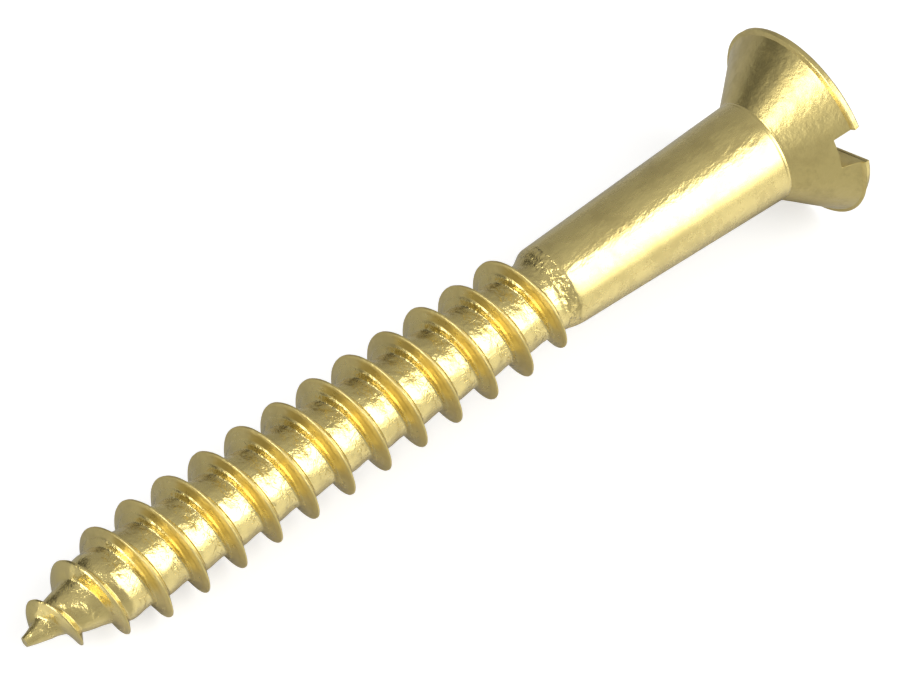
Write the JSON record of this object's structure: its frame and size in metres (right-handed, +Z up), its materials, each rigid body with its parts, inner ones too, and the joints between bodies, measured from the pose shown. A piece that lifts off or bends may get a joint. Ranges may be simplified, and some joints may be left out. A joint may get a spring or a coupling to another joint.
{
  "type": "wood screw",
  "caption": "Slotted countersunk wood screw in solid brass, with a tapered plain shank, a coarse right-hand wood thread and a sharp gimlet point.",
  "frame": {"origin": "centre of the head's flat face, on the screw's axis", "axes": "the screw's axis is X, the head faces +X and the point faces -X; +Z is up as the screw lies"},
  "size_m": [0.0381, 0.0082, 0.0082],
  "materials": {
    "turned_brass": "bright drawn brass, lightly frosted and tarnished",
    "rolled_brass": "bright rolled brass with forming marks in the roots and worn crests"
  },
  "bodies": {
    "root": {"head": "turned_brass", "shank": "turned_brass", "run_out": "rolled_brass", "core": "rolled_brass", "point": "rolled_brass", "thread": "rolled_brass", "lead_thread": "rolled_brass"}
  },
  "joints": []
}
